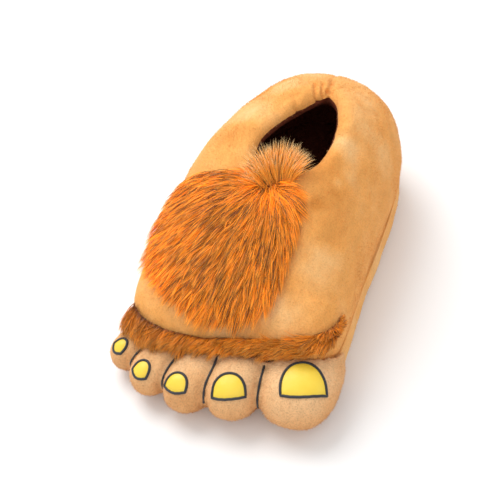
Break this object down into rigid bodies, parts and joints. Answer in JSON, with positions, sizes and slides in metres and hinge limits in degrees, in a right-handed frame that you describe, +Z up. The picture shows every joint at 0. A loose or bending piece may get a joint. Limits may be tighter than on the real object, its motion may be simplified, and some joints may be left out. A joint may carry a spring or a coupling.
{
  "type": "furry foot-shaped slipper",
  "caption": "Stuffed plush house slipper in the shape of a big bare foot, with a padded open collar, fur on the instep and above the toes, and cloth toenails.",
  "frame": {"origin": "middle of the slipper's bounding box, on the floor plane that the outsole stands on", "axes": "+Y towards the heel, the toes point to -Y, +X towards the big toe's side, +Z up"},
  "size_m": [0.1772, 0.3244, 0.1391],
  "materials": {
    "sole_cloth": "matt woven cloth with rubber dots",
    "tan_plush": "short-pile plush",
    "peach_plush": "short-pile plush",
    "brown_fleece": "dark fleece",
    "orange_fur": "long-pile fur",
    "yellow_satin": "smooth printed cloth"
  },
  "bodies": {
    "root": {"outsole": "sole_cloth", "midsole": "tan_plush", "insole": "brown_fleece", "upper": "tan_plush", "toe_piece": "peach_plush", "fur_patch": "orange_fur", "fur_band": "orange_fur", "nail_big": "yellow_satin", "nail_second": "yellow_satin", "nail_third": "yellow_satin", "nail_fourth": "yellow_satin", "nail_little": "yellow_satin"}
  },
  "joints": []
}
